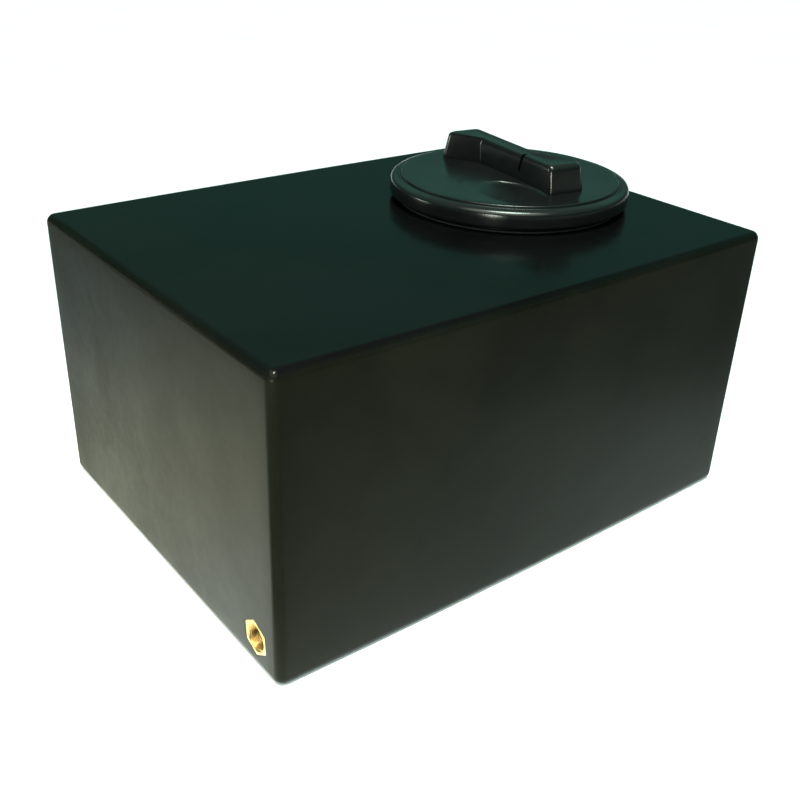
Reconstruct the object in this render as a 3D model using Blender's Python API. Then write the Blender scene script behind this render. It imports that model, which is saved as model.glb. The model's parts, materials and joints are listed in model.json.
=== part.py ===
"""Fresh water tank: a moulded plastic box with a screw lid on a bolted collar and a brass outlet.

Metres, +Z up. The origin is the centre of the footprint on the underside. +X runs along the tank
towards the lid's end, and the brass outlet is low in the end wall at -X.
"""

import math

import bmesh
import bpy
from mathutils import Matrix, Vector

# Tank shell
TANK_LENGTH = 0.580
TANK_WIDTH = 0.430
TANK_HEIGHT = 0.295
EDGE_RADIUS = 0.009
WALL = 0.005
SIDE_BOW = 0.0034
SIDE_STEPS = 8
CORNER_STEPS = 4

# Touching pieces keep this gap
GAP = 0.0003

# Neck opening, and the collar bolted round it. Heights from here on are above the tank's top face.
NECK_X = 0.1425
NECK_Y = 0.0065
NECK_HOLE_RADIUS = 0.104
GASKET_THICKNESS = 0.002
FLANGE_THICKNESS = 0.005
FLANGE_RADIUS = 0.120
FLANGE_CHAMFER = 0.0008
COLLAR_RADIUS = 0.1045
COLLAR_TOP = 0.017
SPIGOT_RADIUS = 0.103
SPIGOT_BOTTOM = -0.010

# Screw thread between the collar and the lid: right-handed, rounded, single start
THREAD_PITCH = 0.008
THREAD_DEPTH = 0.0016
THREAD_ROOT_RADIUS = 0.0996
THREAD_CLEARANCE = 0.0006
THREAD_ROW = 0.001
THREAD_FADE = 0.0025
COLLAR_THREAD = (-0.008, 0.0145)
LID_THREAD = (-0.0015, 0.0140)
TURN_STEPS = 64

# Collar fasteners
BOLT_COUNT = 8
BOLT_CIRCLE_RADIUS = 0.1125
BOLT_FIRST_ANGLE = math.radians(22.5)
SCREW_RADIUS = 0.0025
SCREW_LENGTH = 0.020
HEAD_RADIUS = 0.0045
HEAD_HEIGHT = 0.0032
SOCKET_RADIUS = 0.0022
SOCKET_DEPTH = 0.0018
NUT_RADIUS = 0.0046
NUT_FLANGE_RADIUS = 0.0058
NUT_HEIGHT = 0.005
NUT_FLANGE_HEIGHT = 0.0012
BOLT_STEPS = 16

# Lid: a slightly domed disc. DISC_TOP is the height of its outer edge.
DISC_TOP = 0.0268
DISC_RADIUS = 0.115
DISC_CROWN = 0.0036
DISC_UNDERSIDE = 0.0215
RIM_RADIUS = 0.1274
RIM_BOTTOM = 0.0066
PLUG_INNER_RADIUS = 0.0915
PLUG_BOTTOM = -0.003
SEAT_HEIGHT = 0.0202
CAP_RADIUS = 0.030

# Lid seal
SEAL_INNER_RADIUS = 0.0992
SEAL_OUTER_RADIUS = 0.1062

# Grip on the lid: a straight bar along the lid's Y, with a lug at each end on opposite sides, so
# that its plan is the same after half a turn. Each lug flares out from the bar at its valley.
GRIP_TURN = math.radians(-8.3)
GRIP_TOP = 0.057
GRIP_END = 0.0875
GRIP_HALF_THICKNESS = 0.0110
GRIP_LUG_REACH = 0.0355
GRIP_VALLEY = 0.0400
GRIP_END_DRAFT = 0.0034
GRIP_LUG_DRAFT = 0.0015
GRIP_SIDE_DRAFT = 0.0001
GRIP_CHAMFER = 0.0026
GRIP_CORNER_RADIUS = 0.0050
GRIP_WALL = 0.0035
GRIP_CORNER_STEPS = 3

# Finger recess in the disc: a shallow bowl ended by a round wall beside the bar; half a turn on is its twin
RECESS_BOWL = (-0.0300, -0.0600)
RECESS_BOWL_RADIUS = 0.0420
RECESS_WALL = (-0.0600, -0.0680)
RECESS_WALL_RADIUS = 0.0490
RECESS_MIDDLE = (-0.0350, -0.0620)
RECESS_DEPTH = 0.0022
RECESS_STEPS = 40

# Slanted breather slot in the grip's front wall, and the plate under the hollow grip
SLOT_PLACE = -0.035
SLOT_SLANT = 0.0045
SLOT_WIDTH = 0.004
SLOT_BOTTOM = 0.0384
BAFFLE_THICKNESS = 0.0012
BAFFLE_INSET = 0.0020
BAFFLE_HOLE_RADIUS = 0.002
BAFFLE_HOLE_SPACING = 0.030
BAFFLE_HOLE_COUNT = 5

# Brass outlet insert
OUTLET_Y = -0.178
OUTLET_Z = 0.031
HEX_CORNER_RADIUS = 0.0185
HEX_TURN = math.radians(-5.0)
HEX_DEPTH = 0.008
INSERT_RADIUS = 0.0155
INSERT_NECK_RADIUS = 0.0143
INSERT_LENGTH = 0.028
OUTLET_BORE_RADIUS = 0.0126
OUTLET_MOUTH_RADIUS = 0.0136
BOSS_RADIUS = 0.027
BOSS_END = 0.024
OUTLET_STEPS = 32


def material(name, colour, roughness, metallic=0.0):
    made = bpy.data.materials.new(name)
    made.use_nodes = True
    shader = made.node_tree.nodes["Principled BSDF"]
    shader.inputs["Base Color"].default_value = (*colour, 1.0)
    shader.inputs["Roughness"].default_value = roughness
    shader.inputs["Metallic"].default_value = metallic
    return made


def new_object(name, mesh, location=(0.0, 0.0, 0.0), look=None, parent=None):
    made = bpy.data.objects.new(name, mesh)
    made.location = location
    if look:
        mesh.materials.append(look)
    if parent:
        made.parent = parent
    bpy.context.collection.objects.link(made)
    return made


def finish_mesh(name, bm, sharp_degrees=35.0):
    """Faces turned outwards, smooth except at the sharp edges."""
    bmesh.ops.recalc_face_normals(bm, faces=bm.faces)
    mesh = bpy.data.meshes.new(name)
    bm.to_mesh(mesh)
    bm.free()
    mesh.shade_smooth()
    mesh.set_sharp_from_angle(angle=math.radians(sharp_degrees))
    return mesh


def loft(bm, rings, closed=False):
    """Skin a list of point rings of equal count, capped at both ends unless it closes on itself."""
    loops = [[bm.verts.new(point) for point in ring] for ring in rings]
    pairs = list(zip(loops, loops[1:]))
    if closed:
        pairs.append((loops[-1], loops[0]))
    else:
        bm.faces.new(loops[0])
        bm.faces.new(loops[-1])
    for lower, upper in pairs:
        for i in range(len(lower)):
            j = (i + 1) % len(lower)
            bm.faces.new((lower[i], lower[j], upper[j], upper[i]))


def circle(radius, height, steps, turn=0.0):
    """A ring of points; the radius may be a function of the angle."""
    points = []
    for i in range(steps):
        angle = turn + 2.0 * math.pi * i / steps
        r = radius(angle) if callable(radius) else radius
        points.append((r * math.cos(angle), r * math.sin(angle), height))
    return points


def turned(name, profile, steps=TURN_STEPS, closed=False):
    """A body turned about Z from (radius, height) points."""
    bm = bmesh.new()
    loft(bm, [circle(radius, height, steps) for radius, height in profile], closed)
    return finish_mesh(name, bm)


def prism(name, levels):
    """A body skinned through (outline, height) levels, each outline a list of (x, y)."""
    bm = bmesh.new()
    loft(bm, [[(x, y, height) for x, y in outline] for outline, height in levels])
    return finish_mesh(name, bm)


def cut(target, cutter, operation="DIFFERENCE"):
    cutter.hide_render = True
    cutter.display_type = "WIRE"
    modifier = target.modifiers.new(cutter.name, "BOOLEAN")
    modifier.operation = operation
    modifier.solver = "EXACT"
    modifier.object = cutter


def cylinder_set(name, radius, low, high, centres, steps):
    """Several upright cylinders in one mesh, for use as a cutter."""
    bm = bmesh.new()
    for x, y in centres:
        rings = []
        for height in (low, high):
            rings.append([(x + px, y + py, z) for px, py, z in circle(radius, height, steps)])
        loft(bm, rings)
    return finish_mesh(name, bm)


def bolt_places():
    places = []
    for i in range(BOLT_COUNT):
        angle = BOLT_FIRST_ANGLE + 2.0 * math.pi * i / BOLT_COUNT
        places.append((BOLT_CIRCLE_RADIUS * math.cos(angle), BOLT_CIRCLE_RADIUS * math.sin(angle)))
    return places


def wall_outline(inset):
    """The tank's plan, set in from its outer face: round corners, and long sides that bow outwards."""
    half_x = TANK_LENGTH / 2.0 - inset
    half_y = TANK_WIDTH / 2.0 - inset
    radius = max(EDGE_RADIUS - inset, 0.003)
    corners = []
    for sx, sy, start in ((1, 1, 0.0), (-1, 1, 90.0), (-1, -1, 180.0), (1, -1, 270.0)):
        arc = []
        for i in range(CORNER_STEPS + 1):
            angle = math.radians(start + 90.0 * i / CORNER_STEPS)
            x = sx * (half_x - radius) + radius * math.cos(angle)
            y = sy * (half_y - radius) + radius * math.sin(angle)
            arc.append((x, y))
        corners.append(arc)
    points = []
    for corner, following in zip(corners, corners[1:] + corners[:1]):
        points += corner
        (x0, y0), (x1, y1) = corner[-1], following[0]
        if abs(x1 - x0) > abs(y1 - y0):
            for i in range(1, SIDE_STEPS):
                t = i / SIDE_STEPS
                points.append((x0 + (x1 - x0) * t, y0 + (y1 - y0) * t))
    bowed = []
    for x, y in points:
        bow = SIDE_BOW * (1.0 - (x / half_x) ** 2) * y / half_y
        bowed.append((x, y + bow))
    return bowed


def box_levels(inset):
    """Outlines up the tank with its bottom and top edges rounded, set in by a wall or not at all."""
    radius = max(EDGE_RADIUS - inset, 0.003)
    bottom = []
    for i in range(CORNER_STEPS + 1):
        angle = math.radians(90.0 * i / CORNER_STEPS)
        step_in = inset + radius * (1.0 - math.sin(angle))
        bottom.append((step_in, inset + radius * (1.0 - math.cos(angle))))
    top = [(step_in, TANK_HEIGHT - height) for step_in, height in reversed(bottom)]
    return [(wall_outline(step_in), height) for step_in, height in bottom + top]


def thread_profile(radius_offset, span):
    """Rows of a screw thread as (radius function, height), faded out towards both ends of the span."""
    low, high = span
    rows = round((high - low) / THREAD_ROW)
    profile = []
    for i in range(rows + 1):
        height = low + (high - low) * i / rows
        fade = min(1.0, (height - low) / THREAD_FADE, (high - height) / THREAD_FADE)

        def radius(angle, height=height, fade=max(0.0, fade)):
            wave = 0.5 + 0.5 * math.cos(2.0 * math.pi * height / THREAD_PITCH - angle)
            return radius_offset(wave, fade)

        profile.append((radius, height))
    return profile


def collar_radius(wave, fade):
    """Inner wall of the collar: the ridge stands inwards where the wave is low."""
    return THREAD_ROOT_RADIUS - THREAD_DEPTH * (1.0 - wave) * fade


def plug_radius(wave, fade):
    """Outer wall of the plug: the ridge stands outwards where the wave is high."""
    return THREAD_ROOT_RADIUS - THREAD_DEPTH - THREAD_CLEARANCE + THREAD_DEPTH * wave * fade


def make_tank_shell(look):
    shell = new_object("tank_shell", prism("tank_shell", box_levels(0.0)), look=look)
    cut(shell, new_object("cut_cavity", prism("cut_cavity", box_levels(WALL))))
    outlet = (-TANK_LENGTH / 2.0, OUTLET_Y, OUTLET_Z)
    boss_profile = [(BOSS_RADIUS, WALL / 2.0), (BOSS_RADIUS - 0.002, BOSS_END)]
    boss = turned("add_boss", boss_profile, OUTLET_STEPS)
    bore_radius = INSERT_RADIUS + GAP
    bore_profile = [(bore_radius, HEX_DEPTH - 0.001), (bore_radius, BOSS_END + 0.005)]
    pocket = bmesh.new()
    hexagon = circle(HEX_CORNER_RADIUS + GAP, -0.003, 6, HEX_TURN)
    loft(pocket, [hexagon, [(x, y, HEX_DEPTH + GAP) for x, y, _ in hexagon]])
    parts = (
        ("add_boss", boss, "UNION"),
        ("cut_hexagon", finish_mesh("cut_hexagon", pocket), "DIFFERENCE"),
        ("cut_outlet", turned("cut_outlet", bore_profile, OUTLET_STEPS), "DIFFERENCE"),
    )
    for name, mesh, operation in parts:
        tool = new_object(name, mesh, outlet)
        tool.rotation_euler = (0.0, math.pi / 2.0, 0.0)
        cut(shell, tool, operation)
    top = (NECK_X, NECK_Y, TANK_HEIGHT)
    reach = WALL * 2.0
    hole = cylinder_set("cut_neck", NECK_HOLE_RADIUS, -reach, reach, [(0.0, 0.0)], TURN_STEPS)
    bolts = cylinder_set("cut_bolts", SCREW_RADIUS + GAP, -reach, reach, bolt_places(), BOLT_STEPS)
    cut(shell, new_object("cut_neck", hole, top))
    cut(shell, new_object("cut_bolts", bolts, top))
    return shell


def make_neck_ring(look, axis):
    flange_low = GASKET_THICKNESS + 2.0 * GAP
    flange_top = flange_low + FLANGE_THICKNESS
    mouth = COLLAR_THREAD[1] + 0.001
    profile = [
        (COLLAR_RADIUS - 0.001, COLLAR_TOP),
        (COLLAR_RADIUS, COLLAR_TOP - 0.001),
        (COLLAR_RADIUS, flange_top),
        (FLANGE_RADIUS - FLANGE_CHAMFER, flange_top),
        (FLANGE_RADIUS, flange_top - FLANGE_CHAMFER),
        (FLANGE_RADIUS, flange_low),
        (SPIGOT_RADIUS, flange_low),
        (SPIGOT_RADIUS, SPIGOT_BOTTOM),
        (THREAD_ROOT_RADIUS + 0.0005, SPIGOT_BOTTOM),
    ]
    profile += thread_profile(collar_radius, COLLAR_THREAD)
    profile += [(THREAD_ROOT_RADIUS, mouth), (THREAD_ROOT_RADIUS + 0.0015, COLLAR_TOP)]
    ring = new_object("neck_ring", turned("neck_ring", profile, closed=True), look=look, parent=axis)
    above = flange_top + 0.002
    holes = cylinder_set("cut_flange", SCREW_RADIUS + GAP, 0.0, above, bolt_places(), BOLT_STEPS)
    cut(ring, new_object("cut_flange", holes, parent=axis))
    return flange_top


def make_ring_gasket(look, axis):
    inner = NECK_HOLE_RADIUS + 0.0005
    outer = FLANGE_RADIUS - 0.001
    low, high = GAP, GAP + GASKET_THICKNESS
    profile = [(inner, high), (outer, high), (outer, low), (inner, low)]
    mesh = turned("ring_gasket", profile, closed=True)
    gasket = new_object("ring_gasket", mesh, look=look, parent=axis)
    radius = SCREW_RADIUS + GAP
    holes = cylinder_set("cut_gasket", radius, -0.001, high + 0.001, bolt_places(), BOLT_STEPS)
    cut(gasket, new_object("cut_gasket", holes, parent=axis))


def screw_mesh():
    """A button head with a hexagonal socket on a plain shank; height 0 is the seat under the head."""
    bm = bmesh.new()
    rings = [
        circle(SCREW_RADIUS - 0.0005, -SCREW_LENGTH, BOLT_STEPS),
        circle(SCREW_RADIUS, -SCREW_LENGTH + 0.0006, BOLT_STEPS),
        circle(SCREW_RADIUS, 0.0, BOLT_STEPS),
        circle(HEAD_RADIUS, 0.0, BOLT_STEPS),
        circle(HEAD_RADIUS, HEAD_HEIGHT * 0.45, BOLT_STEPS),
        circle(HEAD_RADIUS * 0.78, HEAD_HEIGHT, BOLT_STEPS),
    ]
    loft(bm, rings)
    return finish_mesh("neck_screw", bm)


def nut_mesh():
    """A flange nut, its flange upwards at height 0."""
    bore = SCREW_RADIUS + GAP
    rings = [
        circle(bore, 0.0, 12),
        circle(NUT_FLANGE_RADIUS, 0.0, 12),
        circle(NUT_FLANGE_RADIUS, -NUT_FLANGE_HEIGHT, 12),
        hexagon_ring(NUT_RADIUS, -NUT_FLANGE_HEIGHT - 0.0003),
        hexagon_ring(NUT_RADIUS, -NUT_HEIGHT),
        circle(bore, -NUT_HEIGHT, 12),
    ]
    bm = bmesh.new()
    loft(bm, rings, closed=True)
    return finish_mesh("neck_nut", bm)


def hexagon_ring(corner_radius, height):
    """Twelve points on a hexagon: its corners, and the middles of its sides."""
    flat = corner_radius * math.cos(math.pi / 6.0)
    points = []
    for i in range(12):
        r = corner_radius if i % 2 == 0 else flat
        points.append((r * math.cos(math.pi * i / 6.0), r * math.sin(math.pi * i / 6.0), height))
    return points


def make_fasteners(look, axis, seat):
    screw = screw_mesh()
    screw.materials.append(look)
    nut = nut_mesh()
    nut.materials.append(look)
    socket = circle(SOCKET_RADIUS, HEAD_HEIGHT - SOCKET_DEPTH, 6)
    for i, (x, y) in enumerate(bolt_places()):
        part = new_object(f"neck_screw_{i + 1}", screw, (x, y, seat + GAP), parent=axis)
        bm = bmesh.new()
        loft(bm, [socket, [(px, py, HEAD_HEIGHT + 0.001) for px, py, _ in socket]])
        tool = finish_mesh(f"cut_socket_{i + 1}", bm)
        cut(part, new_object(f"cut_socket_{i + 1}", tool, (x, y, seat + GAP), parent=axis))
        new_object(f"neck_nut_{i + 1}", nut, (x, y, -WALL - GAP), parent=axis)


def make_lid_seal(look, axis):
    low, high = COLLAR_TOP + GAP, SEAT_HEIGHT - GAP
    middle = (low + high) / 2.0
    profile = [
        (SEAL_INNER_RADIUS + 0.0006, high),
        (SEAL_OUTER_RADIUS - 0.0006, high),
        (SEAL_OUTER_RADIUS, middle),
        (SEAL_OUTER_RADIUS - 0.0006, low),
        (SEAL_INNER_RADIUS + 0.0006, low),
        (SEAL_INNER_RADIUS, middle),
    ]
    new_object("lid_seal", turned("lid_seal", profile, closed=True), look=look, parent=axis)


def shift_side(start, end, distance):
    """A side of a polygon moved to its left by a distance."""
    along = (end - start).normalized()
    left = Vector((-along.y, along.x)) * distance
    return start + left, end + left


def crossing(first, second):
    """Where the lines through two sides meet."""
    (a, b), (c, d) = first, second
    u, v = b - a, d - c
    t = ((c - a).cross(v)) / u.cross(v)
    return a + u * t


def grip_outline(drafted, inset, radius=GRIP_CORNER_RADIUS):
    """The grip's plan, anticlockwise, at its base (drafted 0) or its top (1), set in all round."""
    valley = Vector((-GRIP_HALF_THICKNESS, GRIP_VALLEY))
    lug = Vector((-GRIP_LUG_REACH, GRIP_END))
    square = Vector((GRIP_HALF_THICKNESS, GRIP_END))
    corners = [-valley, square, lug, valley, -square, -lug]
    drafts = [GRIP_SIDE_DRAFT, GRIP_END_DRAFT, GRIP_LUG_DRAFT] * 2
    count = len(corners)
    sides = []
    for i, draft in enumerate(drafts):
        sides.append(shift_side(corners[i], corners[(i + 1) % count], inset + draft * drafted))
    inner = [crossing(sides[i - 1], sides[i]) for i in range(count)]
    points = []
    for i, corner in enumerate(inner):
        points += round_corner(inner[i - 1], corner, inner[(i + 1) % count], radius)
    return [turned_with_grip(point) for point in points]


def turned_with_grip(point):
    return tuple(Matrix.Rotation(GRIP_TURN, 2) @ Vector(point))


def disc_height(radius):
    """Height of the domed disc at a distance from its centre."""
    return DISC_TOP + DISC_CROWN * (1.0 - (radius / DISC_RADIUS) ** 2)


def round_corner(before, corner, after, radius):
    """An arc that touches both sides of a corner, as points from one side to the other."""
    back = (before - corner).normalized()
    ahead = (after - corner).normalized()
    half_angle = math.acos(max(-1.0, min(1.0, back.dot(ahead)))) / 2.0
    reach = radius / math.tan(half_angle)
    centre = corner + (back + ahead).normalized() * radius / math.sin(half_angle)
    first = corner + back * reach - centre
    sweep = math.pi - 2.0 * half_angle
    if first.cross(corner + ahead * reach - centre) < 0.0:
        sweep = -sweep
    steps = GRIP_CORNER_STEPS
    return [centre + Matrix.Rotation(sweep * i / steps, 2) @ first for i in range(steps + 1)]


def lid_profile():
    """Half section of the lid: over the disc, round the rim, and back under it along the plug."""
    rim_inner = RIM_RADIUS - 0.0038
    lip = SEAL_OUTER_RADIUS + 0.0008
    neck = THREAD_ROOT_RADIUS - THREAD_DEPTH - THREAD_CLEARANCE
    profile = [(radius, disc_height(radius)) for radius in (CAP_RADIUS, 0.055, 0.080, 0.100)]
    profile += [
        (RIM_RADIUS - 0.0124, DISC_TOP),
        (RIM_RADIUS - 0.0112, DISC_TOP - 0.0005),
        (RIM_RADIUS - 0.0106, DISC_TOP - 0.0022),
        (RIM_RADIUS - 0.0089, DISC_TOP - 0.0025),
        (RIM_RADIUS - 0.0069, DISC_TOP - 0.0020),
        (RIM_RADIUS - 0.0049, DISC_TOP - 0.0016),
        (RIM_RADIUS - 0.0026, DISC_TOP - 0.0025),
        (RIM_RADIUS - 0.0010, DISC_TOP - 0.0046),
        (RIM_RADIUS - 0.0002, DISC_TOP - 0.0078),
        (RIM_RADIUS, DISC_TOP - 0.0110),
        (RIM_RADIUS, RIM_BOTTOM + 0.0020),
        (RIM_RADIUS - 0.0008, RIM_BOTTOM + 0.0004),
        (RIM_RADIUS - 0.0020, RIM_BOTTOM),
        (rim_inner + 0.0006, RIM_BOTTOM),
        (rim_inner, RIM_BOTTOM + 0.0008),
        (rim_inner - 0.0004, SEAT_HEIGHT - 0.0010),
        (rim_inner - 0.0010, SEAT_HEIGHT - 0.0004),
        (lip + 0.002, SEAT_HEIGHT - 0.0004),
        (lip + 0.002, SEAT_HEIGHT - 0.0016),
        (lip, SEAT_HEIGHT - 0.0016),
        (lip, SEAT_HEIGHT),
        (neck + 0.0008, SEAT_HEIGHT),
        (neck, SEAT_HEIGHT - 0.0008),
    ]
    profile += reversed(thread_profile(plug_radius, LID_THREAD))
    profile += [
        (neck - 0.0008, PLUG_BOTTOM),
        (PLUG_INNER_RADIUS + 0.0008, PLUG_BOTTOM),
        (PLUG_INNER_RADIUS, PLUG_BOTTOM + 0.001),
        (PLUG_INNER_RADIUS - 0.0005, DISC_UNDERSIDE - 0.001),
        (PLUG_INNER_RADIUS - 0.0020, DISC_UNDERSIDE),
        (CAP_RADIUS, DISC_UNDERSIDE),
    ]
    return profile


def reach_to_circle(start, along, centre, radius):
    """How far a point inside a circle is from its line, in one direction."""
    off = start - centre
    back = off.dot(along)
    return math.sqrt(back * back - off.dot(off) + radius * radius) - back


def finger_recess(name, side):
    """The cutter of a finger recess: a shallow bowl in the disc, ended by a wall beside the bar."""
    middle = Vector(RECESS_MIDDLE)
    bowl = Vector(RECESS_BOWL)
    outline = []
    for i in range(RECESS_STEPS):
        angle = 2.0 * math.pi * i / RECESS_STEPS
        along = Vector((math.cos(angle), math.sin(angle)))
        to_bowl = reach_to_circle(middle, along, bowl, RECESS_BOWL_RADIUS * 1.03)
        to_wall = reach_to_circle(middle, along, Vector(RECESS_WALL), RECESS_WALL_RADIUS)
        outline.append(along * min(to_bowl, to_wall))
    rings = [[(*(middle + out), DISC_TOP + 0.008) for out in outline]]
    for share in (1.0, 0.75, 0.45, 0.15):
        ring = []
        for out in outline:
            point = middle + out * share
            depth = RECESS_DEPTH * (1.0 - ((point - bowl).length / RECESS_BOWL_RADIUS) ** 2)
            ring.append((point.x, point.y, disc_height(point.length) - depth))
        rings.append(ring)
    placed = []
    for ring in rings:
        placed.append([(*turned_with_grip((side * x, side * y)), z) for x, y, z in ring])
    bm = bmesh.new()
    loft(bm, placed)
    return finish_mesh(name, bm)


def slanted_slot():
    """The breather slot's cutter, leaning along the bar from the grip's top down to its lower end."""
    reach = GRIP_WALL * 1.5
    top = GRIP_TOP + 0.002
    levels = []
    for height in (SLOT_BOTTOM, top):
        along = SLOT_PLACE + SLOT_SLANT * (GRIP_TOP - height) / (GRIP_TOP - SLOT_BOTTOM)
        outline = []
        for side, end in ((-1, -1), (1, -1), (1, 1), (-1, 1)):
            corner = (side * reach - GRIP_HALF_THICKNESS, end * SLOT_WIDTH / 2.0 + along)
            outline.append(turned_with_grip(corner))
        levels.append((outline, height))
    return prism("cut_slot", levels)


def make_lid(look, axis):
    lid = new_object("lid", turned("lid", lid_profile()), look=look, parent=axis)
    for i, side in enumerate((1.0, -1.0)):
        name = f"cut_recess_{i + 1}"
        cut(lid, new_object(name, finger_recess(name, side), parent=axis))
    middle = (DISC_TOP + DISC_UNDERSIDE) / 2.0
    levels = [
        (grip_outline(0.0, 0.0), middle),
        (grip_outline(0.0, 0.0), DISC_TOP),
        (grip_outline(0.9, 0.0), GRIP_TOP - GRIP_CHAMFER),
        (grip_outline(1.0, GRIP_CHAMFER * 0.8, GRIP_CORNER_RADIUS * 0.4), GRIP_TOP),
    ]
    cut(lid, new_object("add_grip", prism("add_grip", levels), parent=axis), "UNION")
    hollow_radius = GRIP_CORNER_RADIUS * 0.4
    hollow = [
        (grip_outline(0.0, GRIP_WALL, hollow_radius), DISC_UNDERSIDE - 0.002),
        (grip_outline(1.0, GRIP_WALL, hollow_radius), GRIP_TOP - GRIP_WALL),
    ]
    cut(lid, new_object("cut_grip_hollow", prism("cut_grip_hollow", hollow), parent=axis))
    cut(lid, new_object("cut_slot", slanted_slot(), parent=axis))


def make_vent_baffle(look, axis):
    high = DISC_UNDERSIDE - GAP
    low = high - BAFFLE_THICKNESS
    outline = grip_outline(0.0, BAFFLE_INSET)
    plate_mesh = prism("vent_baffle", [(outline, low), (outline, high)])
    plate = new_object("vent_baffle", plate_mesh, look=look, parent=axis)
    first = -BAFFLE_HOLE_SPACING * (BAFFLE_HOLE_COUNT - 1) / 2.0
    centres = []
    for i in range(BAFFLE_HOLE_COUNT):
        centres.append(turned_with_grip((0.0, first + BAFFLE_HOLE_SPACING * i)))
    holes = cylinder_set("cut_baffle", BAFFLE_HOLE_RADIUS, low - 0.001, high + 0.001, centres, 12)
    cut(plate, new_object("cut_baffle", holes, parent=axis))


def make_outlet_insert(look):
    """Hexagonal flange flush with the wall, a grooved body behind it, and an open bore."""
    steps = 36
    hexagon = []
    for i in range(steps):
        angle = 2.0 * math.pi * i / steps
        across = math.pi / 3.0
        off = (angle % across) - across / 2.0
        r = HEX_CORNER_RADIUS * math.cos(math.pi / 6.0) / math.cos(off)
        hexagon.append((r * math.cos(angle + HEX_TURN), r * math.sin(angle + HEX_TURN)))
    rings = [
        circle(OUTLET_MOUTH_RADIUS, 0.0, steps, HEX_TURN),
        [(x, y, 0.0) for x, y in hexagon],
        [(x, y, HEX_DEPTH) for x, y in hexagon],
        circle(INSERT_RADIUS, HEX_DEPTH, steps, HEX_TURN),
        circle(INSERT_RADIUS, 0.012, steps, HEX_TURN),
        circle(INSERT_NECK_RADIUS, 0.0135, steps, HEX_TURN),
        circle(INSERT_NECK_RADIUS, 0.0165, steps, HEX_TURN),
        circle(INSERT_RADIUS, 0.018, steps, HEX_TURN),
        circle(INSERT_RADIUS, INSERT_LENGTH, steps, HEX_TURN),
        circle(OUTLET_BORE_RADIUS, INSERT_LENGTH, steps, HEX_TURN),
        circle(OUTLET_BORE_RADIUS, OUTLET_MOUTH_RADIUS - OUTLET_BORE_RADIUS, steps, HEX_TURN),
    ]
    bm = bmesh.new()
    loft(bm, rings, closed=True)
    mesh = finish_mesh("outlet_insert", bm)
    insert = new_object("outlet_insert", mesh, (-TANK_LENGTH / 2.0, OUTLET_Y, OUTLET_Z), look)
    insert.rotation_euler = (0.0, math.pi / 2.0, 0.0)


def main():
    for old in list(bpy.data.objects):
        bpy.data.objects.remove(old)
    polyethylene = material("black_polyethylene", (0.012, 0.014, 0.012), 0.28)
    lid_plastic = material("black_lid_plastic", (0.014, 0.015, 0.014), 0.32)
    rubber = material("black_rubber", (0.02, 0.02, 0.02), 0.8)
    steel = material("stainless_steel", (0.6, 0.6, 0.58), 0.3, 1.0)
    brass = material("brass", (0.72, 0.48, 0.18), 0.3, 1.0)
    make_tank_shell(polyethylene)
    make_outlet_insert(brass)
    axis = bpy.data.objects.new("neck_axis", None)
    axis.location = (NECK_X, NECK_Y, TANK_HEIGHT)
    bpy.context.collection.objects.link(axis)
    flange_top = make_neck_ring(lid_plastic, axis)
    make_ring_gasket(rubber, axis)
    make_fasteners(steel, axis, flange_top)
    make_lid_seal(rubber, axis)
    make_lid(lid_plastic, axis)
    make_vent_baffle(lid_plastic, axis)


main()
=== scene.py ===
"""Fresh water tank: the finished surfaces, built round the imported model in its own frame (metres)."""
import json
import math

import bmesh
import bpy
from mathutils import Matrix, Vector, noise


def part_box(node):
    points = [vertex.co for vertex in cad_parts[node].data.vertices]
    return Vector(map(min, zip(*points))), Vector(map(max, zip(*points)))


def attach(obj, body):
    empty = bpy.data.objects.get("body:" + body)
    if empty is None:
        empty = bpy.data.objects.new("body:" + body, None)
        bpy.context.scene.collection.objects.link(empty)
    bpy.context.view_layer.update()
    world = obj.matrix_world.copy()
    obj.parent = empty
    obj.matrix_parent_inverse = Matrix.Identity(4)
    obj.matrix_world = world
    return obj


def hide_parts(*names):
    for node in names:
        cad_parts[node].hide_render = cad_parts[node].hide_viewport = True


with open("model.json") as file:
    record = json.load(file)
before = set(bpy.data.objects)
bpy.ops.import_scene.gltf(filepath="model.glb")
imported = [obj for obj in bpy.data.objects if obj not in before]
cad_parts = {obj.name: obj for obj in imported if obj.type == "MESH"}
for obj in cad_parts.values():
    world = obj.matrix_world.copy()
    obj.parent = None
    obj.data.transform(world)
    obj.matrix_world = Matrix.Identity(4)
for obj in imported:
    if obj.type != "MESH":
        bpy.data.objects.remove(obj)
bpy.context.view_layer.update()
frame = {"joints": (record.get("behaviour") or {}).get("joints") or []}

# Places read from the frame
TANK_LOW, TANK_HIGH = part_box("tank_shell")
LID_LOW, LID_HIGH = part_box("lid")
RING_LOW, RING_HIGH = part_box("neck_ring")
SEAL_LOW, SEAL_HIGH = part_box("lid_seal")
BAFFLE_LOW, BAFFLE_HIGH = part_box("vent_baffle")
INSERT_LOW, INSERT_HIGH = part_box("outlet_insert")
TANK_TOP = TANK_HIGH.z
LID_AXIS = next(joint["pos_m"] for joint in frame["joints"] if joint["name"] == "lid_turn")
NECK = Vector((*LID_AXIS[:2], TANK_TOP))
OUTLET = Vector((TANK_LOW.x, (INSERT_LOW.y + INSERT_HIGH.y) / 2, (INSERT_LOW.z + INSERT_HIGH.z) / 2))

# Gap left between pieces that touch
GAP = 0.0003

# Tank shell
EDGE_RADIUS = 0.009
CAVITY_EDGE_RADIUS = 0.006
SIDE_BOW = 0.0034
WALL = 0.005
WAVE_HEIGHT = 0.0005
WAVE_SIZE = 0.11
CALM_BY_EDGE = (0.0, 0.06)
CALM_BY_NECK = (0.135, 0.18)
CALM_BY_OUTLET = (0.03, 0.07)
TANK_GRID = (40, 30, 20)
CAVITY_GRID = (10, 6, 4)
NECK_HOLE_RADIUS = 0.104
BOLT_RADIUS = 0.0028
BOLT_HOLE_STEPS = 20

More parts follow.
